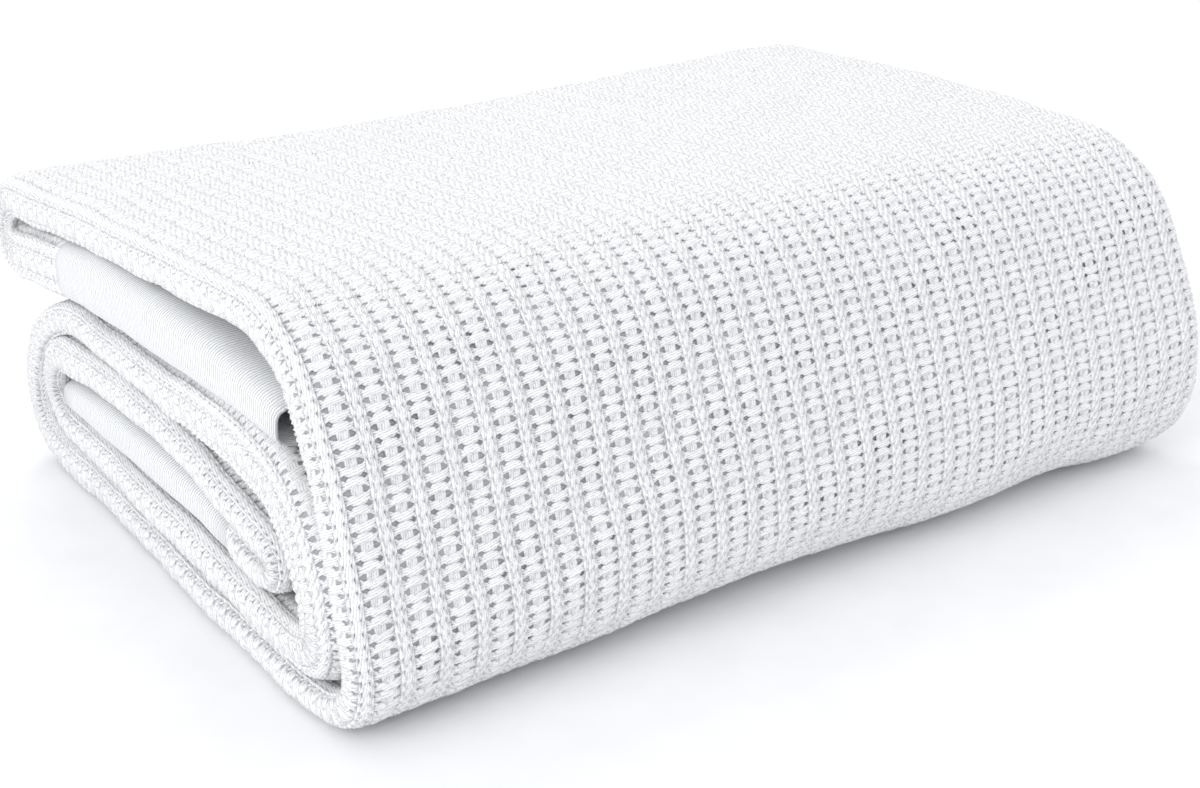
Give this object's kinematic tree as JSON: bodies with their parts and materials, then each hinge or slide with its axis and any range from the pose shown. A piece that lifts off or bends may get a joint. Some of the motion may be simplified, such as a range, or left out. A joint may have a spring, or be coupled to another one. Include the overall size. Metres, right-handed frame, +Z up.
{
  "type": "folded cellular weave cotton blanket",
  "caption": "Open-weave cotton bed blanket, folded in quarters along its length and rolled up flat into a soft oblong bundle.",
  "frame": {"origin": "on the surface that the bundle rests on, under the middle of its length and depth", "axes": "+X along the bundle from its left folded edges to its right ones, +Y from the rounded front to the back, +Z up"},
  "size_m": [0.4196, 0.2982, 0.1362],
  "materials": {
    "white_cotton": "matte bleached cotton yarn in a cellular weave"
  },
  "bodies": {
    "root": {"blanket": "white_cotton"}
  },
  "joints": []
}
